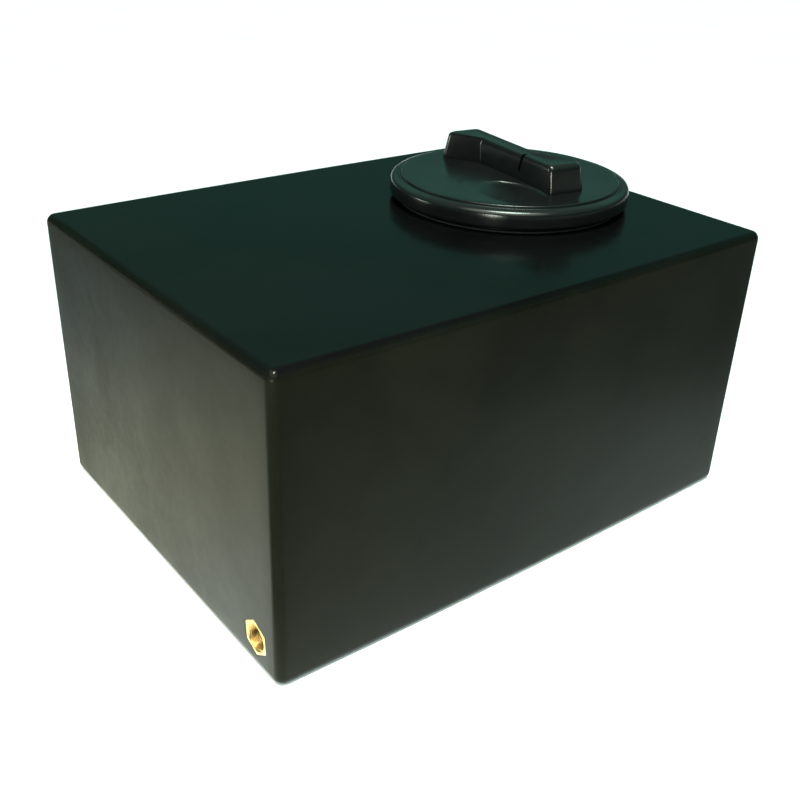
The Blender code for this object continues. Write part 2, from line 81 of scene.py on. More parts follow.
# Collar, as in the frame. Heights are above the tank's top.
THREAD_PITCH = 0.008
THREAD_DEPTH = 0.0016
THREAD_ROOT = 0.0996
THREAD_CLEARANCE = 0.0006
COLLAR_RADIUS = 0.1045
COLLAR_TOP = RING_HIGH.z - TANK_TOP
SPIGOT_BOTTOM = RING_LOW.z - TANK_TOP
FLANGE_RADIUS = 0.120
FLANGE_LOW = 0.0026
FLANGE_TOP = 0.0076
SPIGOT_RADIUS = 0.103
GASKET_MIDDLE = 0.0013
GASKET_HALF = 0.0010
THREAD_ROW = 0.0005
THREAD_FADE = 0.0025
THREAD_ROUNDING = 1.6
ROUND_STEPS = 160

# Lid: a slightly domed disc. DISC_TOP is the height of its outer edge.
RIM_RADIUS = (LID_HIGH.x - LID_LOW.x) / 2
LID_TOP = LID_HIGH.z - TANK_TOP
DISC_TOP = 0.0268
DISC_RADIUS = 0.115
DISC_CROWN = 0.0036
DISC_UNDERSIDE = 0.0215
DISC_FIRST_RING = 0.030
DISC_RING_STEP = 0.0045
DISC_RINGS = 18
LID_STEPS = 192
PIP_DISTANCE = 0.070
RIM_BOTTOM = 0.0066
SEAT_HEIGHT = 0.0202
PLUG_INNER = 0.0915
PLUG_BOTTOM = LID_LOW.z - TANK_TOP

# Grip
GRIP_TURN = math.radians(-8.3)
GRIP_TOP = LID_TOP
GRIP_END = 0.0873
GRIP_HALF = 0.0109
GRIP_LUG = 0.0354
GRIP_VALLEY = 0.0400
GRIP_WALL = 0.0035
GRIP_CORNERS = (0.0060, 0.0046, 0.0055)
GRIP_INNER_CORNERS = (0.0014, 0.0014, 0.0014)
GRIP_END_DRAFT = 0.0034
GRIP_END_ROUNDING = 0.0030
GRIP_END_ROUNDING_DEPTH = 0.0055
GRIP_END_ROUNDING_POWER = 2.5
GRIP_LUG_DRAFT = 0.0015
CORNER_STEPS = 7
SLOT_PLACE = -0.035
SLOT_SLANT = 0.0045
SLOT_WIDTH = 0.004
SLOT_BOTTOM = 0.0384

# Round finger recess, in the grip's own frame
RECESS_BOWL = Vector((-0.0300, -0.0600))
RECESS_BOWL_RADIUS = 0.0420
RECESS_WALL = Vector((-0.0600, -0.0680))
RECESS_WALL_RADIUS = 0.0490
RECESS_MIDDLE = Vector((-0.0350, -0.0620))
RECESS_DEPTH = 0.0022
RECESS_REACH = 1.03
RECESS_SPOKES = 120
RECESS_FLOOR_INSET = 0.0030

# Breather plate
BAFFLE_INSET = 0.0020
BAFFLE_CORNERS = (0.005, 0.005, 0.005)
BAFFLE_EDGE = 0.0003
BAFFLE_HOLES = 21
BAFFLE_HOLE_RADIUS = 0.0015
BAFFLE_HOLE_SPACING = 0.007

# Fasteners
BOLT_COUNT = 8
BOLT_CIRCLE = 0.1125
BOLT_FIRST = math.radians(22.5)
SHANK_RADIUS = 0.0022
SHANK_PITCH = 0.0008
SHANK_THREAD_DEPTH = 0.0003
NUT_BORE = 0.0028
NUT_CORNER_SHARE = 0.978
NUT_STEPS = 48

# Lid seal
SEAL_INNER = 0.0992
SEAL_OUTER = 0.1062

# Brass outlet insert
HEX_CORNER = 0.0185
HEX_CORNER_SHARE = 0.985
HEX_TURN = math.radians(-5.0)
HEX_DEPTH = 0.008
OUTLET_PITCH = 0.001814
OUTLET_THREAD_DEPTH = 0.00116
OUTLET_ROOT = 0.01322
INSERT_BODY = 0.0155
INSERT_NECK = 0.0143
INSERT_LENGTH = 0.028
INSERT_STEPS = 96

# Camera
CAMERA_MATRIX = (
    (0.79139, 0.26443, -0.55116, -0.60820),
    (-0.61041, 0.39049, -0.68914, -0.75930),
    (0.03299, 0.88181, 0.47045, 0.61140),
    (0.0, 0.0, 0.0, 1.0),
)
CAMERA_LENS = 45.26
CAMERA_SENSOR = 36.0

# Sun, wide and soft
SUN_FROM = Vector((-0.39, -0.37, 0.84))
SUN_ANGLE = math.radians(60.0)
SUN_STRENGTH = 3.35

# Area lights: name, place, aim, size, power, spread in degrees, colour
AREA_LIGHTS = (
    (
        "softbox", (-0.14, -0.34, 1.57), (0.06, -0.08, 0.32),
        (0.60, 0.60), 3.0, 30.0, (0.80, 1.0, 0.97),
    ),
    (
        "left_pool", (-0.47, 0.06, 0.75), (-0.44, 0.08, 0.0),
        (0.25, 0.35), 1.6, 70.0, (1.0, 0.97, 0.55),
    ),
    (
        "left_card", (-0.736, 0.668, 0.29), (0.13, 0.04, 0.34),
        (0.24, 0.12), 0.14, 40.0, (0.90, 1.0, 0.95),
    ),
    (
        "front_card", (-0.77, -0.61, 0.27), (0.15, -0.06, 0.34),
        (0.26, 0.14), 0.30, 40.0, (0.90, 1.0, 0.95),
    ),
    (
        "corner_spot", (-0.517, -0.515, 1.74), (-0.29, -0.215, 0.29),
        (0.24, 0.24), 0.55, 12.0, (0.88, 1.0, 0.98),
    ),
)

# Room by the height looked at, from level to straight up
ROOM_COLOURS = (
    (0.00, (0.05, 0.06, 0.05)),
    (0.08, (0.05, 0.08, 0.07)),
    (0.22, (0.055, 0.19, 0.145)),
    (0.38, (0.112, 0.36, 0.285)),
    (0.56, (0.21, 0.68, 0.52)),
    (0.75, (0.25, 0.46, 0.40)),
    (1.00, (0.45, 0.50, 0.48)),
)


# ---------------------------------------------------------------- mesh helpers

def to_object(name, bm, sharp=38.0):
    """A mesh object, smooth apart from edges sharper than an angle in degrees."""
    bmesh.ops.recalc_face_normals(bm, faces=bm.faces)
    mesh = bpy.data.meshes.new(name)
    bm.to_mesh(mesh)
    bm.free()
    mesh.shade_smooth()
    mesh.set_sharp_from_angle(angle=math.radians(sharp))
    made = bpy.data.objects.new(name, mesh)
    bpy.context.scene.collection.objects.link(made)
    return made


def loft(bm, rings, closed=False):
    """Quads between rings of equal count, capped at both ends unless the rings close on themselves."""
    loops = [[bm.verts.new(point) for point in ring] for ring in rings]
    pairs = list(zip(loops, loops[1:]))
    if closed:
        pairs.append((loops[-1], loops[0]))
    else:
        bm.faces.new(loops[0])
        bm.faces.new(loops[-1])
    for lower, upper in pairs:
        for i in range(len(lower)):
            j = (i + 1) % len(lower)
            bm.faces.new((lower[i], lower[j], upper[j], upper[i]))


def circle(radius, height, steps, turn=0.0):
    """Points of a ring whose radius is a number or a rule by angle."""
    points = []
    for i in range(steps):
        angle = turn + 2 * math.pi * i / steps
        r = radius(angle) if callable(radius) else radius
        points.append((r * math.cos(angle), r * math.sin(angle), height))
    return points


def turned(name, profile, steps=ROUND_STEPS, closed=False, sharp=38.0):
    """A body turned about Z from its (radius, height) half section."""
    bm = bmesh.new()
    loft(bm, [circle(radius, height, steps) for radius, height in profile], closed)
    return to_object(name, bm, sharp)


def stack(name, levels):
    """A body through (outline, height) levels."""
    bm = bmesh.new()
    loft(bm, [[(x, y, height) for x, y in outline] for outline, height in levels])
    return to_object(name, bm)


def place(obj, matrix):
    obj.data.transform(matrix)
    return obj


def combine(target, tool, operation="DIFFERENCE"):
    """Boolean that is applied at once, and the tool removed."""
    modifier = target.modifiers.new("combine", "BOOLEAN")
    modifier.operation = operation
    modifier.solver = "EXACT"
    modifier.object = tool
    graph = bpy.context.evaluated_depsgraph_get()
    mesh = bpy.data.meshes.new_from_object(target.evaluated_get(graph))
    target.modifiers.clear()
    old = target.data
    target.data = mesh
    mesh.name = target.name
    bpy.data.meshes.remove(old)
    bpy.data.objects.remove(tool)
    return target


def join_tools(name, tools):
    """Separate closed bodies as one Boolean tool."""
    bm = bmesh.new()
    for tool in tools:
        bm.from_mesh(tool.data)
        bpy.data.objects.remove(tool)
    return to_object(name, bm)


def round_edge(centre, radius, start, end, steps):
    """Points on an arc in a (radius, height) section, by angles in degrees."""
    points = []
    for i in range(steps + 1):
        angle = math.radians(start + (end - start) * i / steps)
        points.append((centre[0] + radius * math.cos(angle), centre[1] + radius * math.sin(angle)))
    return points


def hexagon_rule(corner, corner_share, turn=0.0):
    """Radius by angle of a hexagon whose corners are turned down to a share of their radius."""
    def radius(angle):
        off = (angle - turn) % (math.pi / 3) - math.pi / 6
        return min(corner * corner_share, corner * math.cos(math.pi / 6) / math.cos(off))

    return radius


def thread_rows(surface, low, high, pitch, row, fade_length):
    """Rows (radius function, height) of a rounded thread that fades out towards both ends."""
    rows = round((high - low) / row)
    made = []
    for i in range(rows + 1):
        height = low + (high - low) * i / rows
        fade = max(0.0, min(1.0, (height - low) / fade_length, (high - height) / fade_length))

        def radius(angle, height=height, fade=fade):
            wave = 0.5 + 0.5 * math.cos(2 * math.pi * height / pitch - angle)
            return surface(wave, fade)

        made.append((radius, height))
    return made


# ---------------------------------------------------------------- tank shell

def edge_steps(half, radius, middle, arc):
    """Grid places along one side of a box: tight over its rounded ends, even between them."""
    flat = half - radius
    zone = [flat + radius * math.tan(math.radians(45.0 * i / arc)) for i in range(1, arc + 1)]
    inner = [-flat + 2 * flat * i / middle for i in range(middle + 1)]
    return [-z for z in reversed(zone)] + inner + zone


def rounded_box(name, half, radius, middles, arc, move=None):
    """A box with its edges rounded, its faces divided into a grid, and each point moved by a rule."""
    bm = bmesh.new()
    found = {}
    grids = [edge_steps(half[k], radius, middles[k], arc) for k in range(3)]

    def vertex(point):
        key = tuple(round(c * 1e6) for c in point)
        if key not in found:
            core = Vector([max(-(half[k] - radius), min(half[k] - radius, point[k])) for k in range(3)])
            out = (Vector(point) - core).normalized()
            placed = core + out * radius
            found[key] = bm.verts.new(move(placed, out) if move else placed)
        return found[key]

    for axis in range(3):
        a, b = (axis + 1) % 3, (axis + 2) % 3
        cells = [(i, j) for i in range(len(grids[a]) - 1) for j in range(len(grids[b]) - 1)]
        for side in (-1, 1):
            for i, j in cells:
                corners = []
                for u, v in ((i, j), (i + 1, j), (i + 1, j + 1), (i, j + 1)):
                    point = [0.0, 0.0, 0.0]
                    point[axis] = side * half[axis]
                    point[a], point[b] = grids[a][u], grids[b][v]
                    corners.append(vertex(point))
                bm.faces.new(corners)
    return to_object(name, bm, 60.0)


def smooth_step(low, high, value):
    t = max(0.0, min(1.0, (value - low) / (high - low)))
    return t * t * (3 - 2 * t)


def make_tank_shell():
    half = Vector((
        (TANK_HIGH.x - TANK_LOW.x) / 2,
        (TANK_HIGH.y - TANK_LOW.y) / 2 - SIDE_BOW,
        TANK_TOP / 2,
    ))
    lift = Vector((0.0, 0.0, TANK_TOP / 2))
    outlet = OUTLET - lift
    neck = NECK - lift

    def bowed(point):
        bow = SIDE_BOW * (1 - min(1.0, (point.x / half.x) ** 2))
        return Vector((point.x, point.y + bow * point.y / half.y, point.z))

    def moulded(point, out):
        """Slow waves in the walls, which die away at the edges, the base, the lid and the outlet."""
        inside = min((half[k] - abs(point[k]) for k in range(3) if abs(out[k]) < 0.5), default=0.0)
        calm = smooth_step(*CALM_BY_EDGE, inside)
        calm *= smooth_step(*CALM_BY_NECK, (point - neck).length)
        calm *= smooth_step(*CALM_BY_OUTLET, (point - outlet).length)
        if out.z < -0.5:
            calm = 0.0
        wave = noise.noise(point / WAVE_SIZE + Vector((3.1, 7.7, 1.3)))
        wave += 0.4 * noise.noise(point / (WAVE_SIZE * 0.4) + Vector((9.2, 0.4, 5.1)))
        return bowed(point) + out * min(0.0, wave - 0.7) * WAVE_HEIGHT * calm

    shell = rounded_box("moulded_tank", half, EDGE_RADIUS, TANK_GRID, 6, moulded)
    inner_half = half - Vector((WALL, WALL, WALL))
    cavity = rounded_box("cavity", inner_half, CAVITY_EDGE_RADIUS, CAVITY_GRID, 2, lambda p, out: bowed(p))
    combine(shell, cavity)

    into_wall = Matrix.Translation(outlet) @ Matrix.Rotation(math.pi / 2, 4, "Y")
    boss = [(0.027, WALL / 2), (0.0265, 0.018)] + round_edge((0.0225, 0.020), 0.004, 0, 90, 5)
    combine(shell, place(turned("boss", boss, 64), into_wall), "UNION")
    hexagon = [(x, y) for x, y, _ in circle(HEX_CORNER + GAP, 0.0, 6, HEX_TURN)]
    pocket = place(stack("pocket", [(hexagon, -0.003), (hexagon, HEX_DEPTH + GAP)]), into_wall)
    combine(shell, pocket)
    bore = turned("bore", [(INSERT_BODY + GAP, HEX_DEPTH - 0.001), (INSERT_BODY + GAP, 0.030)], 64)
    combine(shell, place(bore, into_wall))
    neck_hole = turned("neck_hole", [(NECK_HOLE_RADIUS, -0.010), (NECK_HOLE_RADIUS, 0.010)])
    holes = [place(neck_hole, Matrix.Translation(neck))]
    for x, y in bolt_places():
        hole = turned("bolt_hole", [(BOLT_RADIUS, -0.010), (BOLT_RADIUS, 0.010)], BOLT_HOLE_STEPS)
        holes.append(place(hole, Matrix.Translation(neck + Vector((x, y, 0.0)))))
    combine(shell, join_tools("holes", holes))
    shell.data.transform(Matrix.Translation(lift))
    shell.data.shade_smooth()
    shell.data.set_sharp_from_angle(angle=math.radians(42.0))
    return shell


# ---------------------------------------------------------------- collar and fasteners

def bolt_places():
    places = []
    for i in range(BOLT_COUNT):
        angle = BOLT_FIRST + 2 * math.pi * i / BOLT_COUNT
        places.append((BOLT_CIRCLE * math.cos(angle), BOLT_CIRCLE * math.sin(angle)))
    return places


def drill(piece, low, high):
    """Bolt holes through a piece that is still at the origin."""
    tools = []
    for x, y in bolt_places():
        rings = [(BOLT_RADIUS, low), (BOLT_RADIUS, high)]
        tools.append(place(turned("drill", rings, BOLT_HOLE_STEPS), Matrix.Translation((x, y, 0.0))))
    return combine(piece, join_tools("drills", tools))


def make_neck_ring():
    profile = round_edge((COLLAR_RADIUS - 0.0010, COLLAR_TOP - 0.0010), 0.0010, 90, 0, 4)
    profile += round_edge((COLLAR_RADIUS + 0.0015, FLANGE_TOP + 0.0015), 0.0015, 180, 270, 4)
    profile += round_edge((FLANGE_RADIUS - 0.0012, FLANGE_TOP - 0.0012), 0.0012, 90, 0, 4)
    profile += [
        (FLANGE_RADIUS, FLANGE_LOW + 0.0003),
        (FLANGE_RADIUS - 0.0003, FLANGE_LOW),
        (SPIGOT_RADIUS, FLANGE_LOW),
        (SPIGOT_RADIUS, SPIGOT_BOTTOM + 0.0006),
        (SPIGOT_RADIUS - 0.0006, SPIGOT_BOTTOM),
        (THREAD_ROOT + 0.0005, SPIGOT_BOTTOM),
    ]

    def wall(wave, fade):
        return THREAD_ROOT - THREAD_DEPTH * (1 - wave) ** THREAD_ROUNDING * fade

    profile += thread_rows(wall, -0.008, 0.0145, THREAD_PITCH, THREAD_ROW, THREAD_FADE)
    profile += [
        (THREAD_ROOT, 0.0155),
        (THREAD_ROOT + 0.0012, COLLAR_TOP - 0.0003),
        (THREAD_ROOT + 0.0018, COLLAR_TOP),
    ]
    ring = turned("threaded_collar", profile, closed=True)
    drill(ring, 0.0, FLANGE_TOP + 0.003)
    return place(ring, Matrix.Translation(NECK))


def make_gasket():
    inner, outer = NECK_HOLE_RADIUS + 0.0005, FLANGE_RADIUS - 0.001
    profile = round_edge((outer - 0.0006, GASKET_MIDDLE), GASKET_HALF, 80, -80, 6)
    profile += round_edge((inner + 0.0006, GASKET_MIDDLE), GASKET_HALF, 260, 100, 6)
    gasket = turned("flat_gasket", profile, closed=True)
    drill(gasket, -0.001, 0.004)
    return place(gasket, Matrix.Translation(NECK))


def make_screw(name, x, y):
    """Button head with a hexagonal socket, and a rolled thread on the shank."""
    seat = FLANGE_TOP + GAP
    profile = [(0.0019, -0.0200), (SHANK_RADIUS, -0.0196)]

    def shank(wave, fade):
        return SHANK_RADIUS + SHANK_THREAD_DEPTH * wave * fade

    profile += thread_rows(shank, -0.0194, -0.0030, SHANK_PITCH, SHANK_PITCH / 4, 0.0006)
    profile += [(0.0025, -0.0026), (0.0025, 0.0), (0.0043, 0.0), (0.0045, 0.0002), (0.0045, 0.0013)]
    profile += round_edge((0.0024, 0.0011), 0.0021, 10, 84, 6)
    screw = turned(name, profile, 24, sharp=40.0)
    socket = [(px, py) for px, py, _ in circle(0.0016, 0.0, 6)]
    combine(screw, stack("socket", [(socket, 0.0014), (socket, 0.0050)]))
    return place(screw, Matrix.Translation(NECK + Vector((x, y, seat))))


def make_nut(name, x, y):
    """Flange nut with rounded corners, its flange upwards."""
    wide = hexagon_rule(0.0046, NUT_CORNER_SHARE)
    profile = [
        (NUT_BORE, -0.0002),
        (NUT_BORE + 0.0002, 0.0),
        (0.0056, 0.0),
        (0.0058, -0.0002),
        (0.0057, -0.0008),
        (0.0050, -0.0014),
        (wide, -0.0016),
        (wide, -0.0046),
        (hexagon_rule(0.0043, NUT_CORNER_SHARE), -0.0049),
        (0.0036, -0.0050),
        (NUT_BORE + 0.0003, -0.0050),
        (NUT_BORE, -0.0047),
    ]
    nut = turned(name, profile, NUT_STEPS, closed=True, sharp=40.0)
    return place(nut, Matrix.Translation(NECK + Vector((x, y, -WALL - GAP))))


def make_seal():
    low, high = SEAL_LOW.z - TANK_TOP, SEAL_HIGH.z - TANK_TOP
    half = (high - low) / 2
    middle = (high + low) / 2
    profile = round_edge((SEAL_OUTER - half, middle), half, 90, -90, 8)
    profile += round_edge((SEAL_INNER + half, middle), half, 270, 90, 8)
    return place(turned("rubber_lid_seal", profile, closed=True, sharp=60.0), Matrix.Translation(NECK))


# ---------------------------------------------------------------- lid

def shift_side(start, end, first, last):
    """A side moved to its left, by one distance at its start and another at its end."""
    along = (end - start).normalized()
    left = Vector((-along.y, along.x))
    return start + left * first, end + left * last


def crossing(one, other):
    """Where two sides, made longer if need be, meet."""
    (a, b), (c, d) = one, other
    u, v = b - a, d - c
    return a + u * ((c - a).cross(v) / u.cross(v))


def round_corner(before, corner, after, radius, steps):
    """Arc points that round off the corner between two neighbouring points."""
    back = (before - corner).normalized()
    ahead = (after - corner).normalized()
    half_angle = math.acos(max(-1.0, min(1.0, back.dot(ahead)))) / 2
    centre = corner + (back + ahead).normalized() * radius / math.sin(half_angle)
    first = corner + back * radius / math.tan(half_angle) - centre
    sweep = math.pi - 2 * half_angle
    if first.cross(corner + ahead * radius - centre) < 0:
        sweep = -sweep
    return [centre + Matrix.Rotation(sweep * i / steps, 2) @ first for i in range(steps + 1)]


def grip_outline(side, end, lug, radii):
    """The grip's plan, anticlockwise. Insets are given for the bar's long sides (at the valley and at
    the far corner), for its ends and for the lugs' slanted sides; radii are for valley, square, lug."""
    valley = Vector((-GRIP_HALF, GRIP_VALLEY))
    point = Vector((-GRIP_LUG, GRIP_END))
    square = Vector((GRIP_HALF, GRIP_END))
    corners = [-valley, square, point, valley, -square, -point]
    insets = [side, (end, end), (lug, lug)] * 2
    sides = [shift_side(corners[i], corners[(i + 1) % 6], *insets[i]) for i in range(6)]
    inner = [crossing(sides[i - 1], sides[i]) for i in range(6)]
    points = []
    for i, corner in enumerate(inner):
        points += round_corner(inner[i - 1], corner, inner[(i + 1) % 6], radii[i % 3], CORNER_STEPS)
    turn = Matrix.Rotation(GRIP_TURN, 2)
    return [tuple(turn @ p) for p in points]


def disc_height(radius):
    """Height of the domed disc, by the distance from its centre."""
    return DISC_TOP + DISC_CROWN * (1 - (radius / DISC_RADIUS) ** 2)


def grip_levels():
    """The ends and lugs lean in a little, and every top edge is rounded, most of all at the valley."""
    foot = grip_outline((0.0, 0.0), 0.0, 0.0, GRIP_CORNERS)
    levels = [(foot, DISC_TOP - 0.002), (foot, DISC_TOP + 0.004)]
    # Depth under the top, insets in mm at the valley and at the far corner, share of the drafts
    band = (
        (0.0075, 0.10, 0.10, 0.80),
        (0.0055, 0.35, 0.15, 0.88),
        (0.0035, 0.90, 0.25, 0.96),
        (0.0022, 1.40, 0.50, 1.02),
        (0.0013, 1.85, 0.85, 1.10),
        (0.0007, 2.30, 1.25, 1.20),
        (0.0002, 2.80, 1.75, 1.34),
        (0.0000, 3.40, 2.35, 1.50),
    )
    for down, at_valley, at_corner, draft in band:
        side = (at_valley * 0.001, at_corner * 0.001)
        rise = max(0.0, 1 - down / GRIP_END_ROUNDING_DEPTH) ** GRIP_END_ROUNDING_POWER
        end = GRIP_END_DRAFT * draft + GRIP_END_ROUNDING * rise
        levels.append((grip_outline(side, end, GRIP_LUG_DRAFT * draft, GRIP_CORNERS), GRIP_TOP - down))
    return levels


def lid_profile():
    """Half section: over the disc and its raised lip, round the rim, back under it and down the plug."""
    rim_inner = RIM_RADIUS - 0.0038
    neck = THREAD_ROOT - THREAD_DEPTH - THREAD_CLEARANCE
    radii = [DISC_FIRST_RING + DISC_RING_STEP * i for i in range(DISC_RINGS)]
    profile = [(radius, disc_height(radius)) for radius in radii]
    profile += round_edge((RIM_RADIUS - 0.0126, DISC_TOP - 0.0008), 0.0011, 105, 10, 5)
    profile += round_edge((RIM_RADIUS - 0.0098, DISC_TOP - 0.0018), 0.0013, 190, 290, 5)
    profile += round_edge((RIM_RADIUS - 0.0075, DISC_TOP - 0.0060), 0.0044, 88, 60, 5)
    profile += [(RIM_RADIUS - 0.0037, DISC_TOP - 0.0026)]
    profile += round_edge((RIM_RADIUS - 0.0058, DISC_TOP - 0.0078), 0.0056, 62, 8, 9)
    profile += [(RIM_RADIUS, DISC_TOP - 0.0110), (RIM_RADIUS, RIM_BOTTOM + 0.0026)]
    profile += round_edge((RIM_RADIUS - 0.0020, RIM_BOTTOM + 0.0020), 0.0020, 0, -90, 6)
    profile += round_edge((rim_inner + 0.0006, RIM_BOTTOM + 0.0006), 0.0006, -90, -180, 3)
    profile += [
        (rim_inner - 0.0004, SEAT_HEIGHT - 0.0014),
        (rim_inner - 0.0014, SEAT_HEIGHT - 0.0004),
        (0.1090, SEAT_HEIGHT - 0.0004),
        (0.1088, SEAT_HEIGHT - 0.0016),
        (0.1070, SEAT_HEIGHT - 0.0016),
        (0.1069, SEAT_HEIGHT),
        (neck + 0.0008, SEAT_HEIGHT),
        (neck, SEAT_HEIGHT - 0.0008),
    ]

    def wall(wave, fade):
        return neck + THREAD_DEPTH * wave ** THREAD_ROUNDING * fade

    profile += reversed(thread_rows(wall, -0.0015, 0.0140, THREAD_PITCH, THREAD_ROW, THREAD_FADE))
    profile += [
        (neck - 0.0006, PLUG_BOTTOM + 0.0002),
        (neck - 0.0010, PLUG_BOTTOM),
        (PLUG_INNER + 0.0006, PLUG_BOTTOM),
        (PLUG_INNER, PLUG_BOTTOM + 0.0006),
        (PLUG_INNER - 0.0005, DISC_UNDERSIDE - 0.0015),
        (PLUG_INNER - 0.0020, DISC_UNDERSIDE),
        (DISC_FIRST_RING, DISC_UNDERSIDE),
    ]
    return profile


def reach_to_circle(start, along, centre, radius):
    """How far a point inside a circle is from its line, in one direction."""
    off = start - centre
    back = off.dot(along)
    return math.sqrt(back * back - off.dot(off) + radius * radius) - back


def finger_recess(side):
    """Tool for the recess beside the bar: a shallow bowl in the disc, ended by a round wall by the bar."""
    spokes = []
    for i in range(RECESS_SPOKES):
        angle = 2 * math.pi * i / RECESS_SPOKES
        along = Vector((math.cos(angle), math.sin(angle)))
        to_bowl = reach_to_circle(RECESS_MIDDLE, along, RECESS_BOWL, RECESS_BOWL_RADIUS * RECESS_REACH)
        to_wall = reach_to_circle(RECESS_MIDDLE, along, RECESS_WALL, RECESS_WALL_RADIUS)
        spokes.append((along, to_bowl, to_wall))
    turn = Matrix.Rotation(GRIP_TURN, 2)
    rings = []
    # Inset from the wall's line, and height over the bowl
    wall_section = (
        (-0.0026, 0.0080),
        (-0.0012, 0.0032),
        (0.0002, 0.0010),
        (0.0014, 0.0002),
        (RECESS_FLOOR_INSET, 0.0),
    )
    for inset, lift in wall_section:
        rings.append([(along * min(bowl, wall - inset), lift) for along, bowl, wall in spokes])
    for share in (0.85, 0.6, 0.35, 0.12):
        rings.append([
            (along * min(bowl, wall - RECESS_FLOOR_INSET) * share, 0.0)
            for along, bowl, wall in spokes
        ])
    placed = []
    for ring in rings:
        points = []
        for out, lift in ring:
            point = RECESS_MIDDLE + out
            depth = RECESS_DEPTH * (1 - ((point - RECESS_BOWL).length / RECESS_BOWL_RADIUS) ** 2)
            x, y = turn @ (point * side)
            points.append((x, y, disc_height(point.length) - depth + lift))
        placed.append(points)
    bm = bmesh.new()
    loft(bm, placed)
    return to_object("recess", bm)


def slanted_slot():
    """Tool for the breather slot, which leans along the bar from the top down to its lower end."""
    turn = Matrix.Rotation(GRIP_TURN, 2)
    reach = GRIP_WALL * 1.5
    levels = []
    for height in (SLOT_BOTTOM, GRIP_TOP + 0.002):
        along = SLOT_PLACE + SLOT_SLANT * (GRIP_TOP - height) / (GRIP_TOP - SLOT_BOTTOM)
        outline = []
        for side, end in ((-1, -1), (1, -1), (1, 1), (-1, 1)):
            outline.append(tuple(turn @ Vector((side * reach - GRIP_HALF, end * SLOT_WIDTH / 2 + along))))
        levels.append((outline, height))
    return stack("slot", levels)


def make_lid():
    lid = turned("screw_lid", lid_profile(), LID_STEPS)
    combine(lid, join_tools("recesses", [finger_recess(1), finger_recess(-1)]))
    combine(lid, stack("grip", grip_levels()), "UNION")
    wall = GRIP_WALL
    hollow = []
    # Insets past the wall's thickness at the valley, the far corner, the ends and the lugs, and the height
    for at_valley, at_corner, at_end, at_lug, height in (
        (0.0, 0.0, 0.0, 0.0, DISC_UNDERSIDE - 0.002),
        (0.0, 0.0, 0.0025, 0.0015, GRIP_TOP - 0.0085),
        (0.003, 0.001, 0.0035, 0.002, GRIP_TOP - wall),
    ):
        side = (wall + at_valley, wall + at_corner)
        hollow.append((grip_outline(side, wall + at_end, wall + at_lug, GRIP_INNER_CORNERS), height))
    combine(lid, stack("hollow", hollow))
    combine(lid, slanted_slot())
    low = disc_height(PIP_DISTANCE)
    pip = [(0.0040, -0.0020), (0.0040, 0.00005), (0.0034, 0.00035), (0.0016, 0.00050), (0.0008, 0.00040)]
    pip = turned("pip", [(radius, low + lift) for radius, lift in pip], 32)
    combine(lid, place(pip, Matrix.Translation((-PIP_DISTANCE, 0.0, 0.0))), "UNION")
    lid.data.shade_smooth()
    lid.data.set_sharp_from_angle(angle=math.radians(36.0))
    return place(lid, Matrix.Translation(NECK))


def make_baffle():
    low, high = BAFFLE_LOW.z - TANK_TOP, BAFFLE_HIGH.z - TANK_TOP
    edge = BAFFLE_EDGE
    small, full = [
        grip_outline((inset, inset), inset, inset, BAFFLE_CORNERS)
        for inset in (BAFFLE_INSET + edge, BAFFLE_INSET)
    ]
    plate = stack("breather_plate", [(small, low), (full, low + edge), (full, high - edge), (small, high)])
    turn = Matrix.Rotation(GRIP_TURN, 2)
    first = -BAFFLE_HOLE_SPACING * (BAFFLE_HOLES - 1) / 2
    rings = [(BAFFLE_HOLE_RADIUS, low - 0.001), (BAFFLE_HOLE_RADIUS, high + 0.001)]
    tools = []
    for i in range(BAFFLE_HOLES):
        x, y = turn @ Vector((0.0, first + BAFFLE_HOLE_SPACING * i))
        tools.append(place(turned("hole", rings, 16), Matrix.Translation((x, y, 0))))
    combine(plate, join_tools("holes", tools))
    return place(plate, Matrix.Translation(NECK))


# ---------------------------------------------------------------- brass insert

def make_insert():
    """Hexagon flush with the wall, its bore cut with a fine parallel pipe thread."""
    first, second, full = [
        hexagon_rule(HEX_CORNER - inset, HEX_CORNER_SHARE, HEX_TURN)
        for inset in (0.0009, 0.0004, 0.0)
    ]

    def bore(wave, fade):
        return OUTLET_ROOT - OUTLET_THREAD_DEPTH * (1 - wave) * fade

    profile = [
        (OUTLET_ROOT + 0.0006, 0.0),
        (first, 0.0),
        (second, 0.0002),
        (full, 0.0007),
        (full, HEX_DEPTH),
        (INSERT_BODY, HEX_DEPTH),
        (INSERT_BODY, 0.0120),
        (INSERT_NECK, 0.0135),
        (INSERT_NECK, 0.0165),
        (INSERT_BODY, 0.0180),
        (INSERT_BODY, INSERT_LENGTH - 0.0005),
        (INSERT_BODY - 0.0005, INSERT_LENGTH),
        (OUTLET_ROOT + 0.0004, INSERT_LENGTH),
        (OUTLET_ROOT, INSERT_LENGTH - 0.0004),
    ]
    rows = thread_rows(bore, 0.0008, INSERT_LENGTH - 0.0015, OUTLET_PITCH, OUTLET_PITCH / 6, 0.0010)
    profile += reversed(rows)
    insert = turned("brass_insert", profile, INSERT_STEPS, closed=True, sharp=30.0)
    return place(insert, Matrix.Translation(OUTLET) @ Matrix.Rotation(math.pi / 2, 4, "Y"))


# ---------------------------------------------------------------- materials

def set_stops(ramp, stops):
    """Stops of (position, colour) in rising order, on a ramp that starts with two."""
    for position, _ in stops[2:]:
        ramp.elements.new(position)
    for element, (position, colour) in zip(ramp.elements, stops):
        element.position = position
        element.color = (*colour, 1.0)


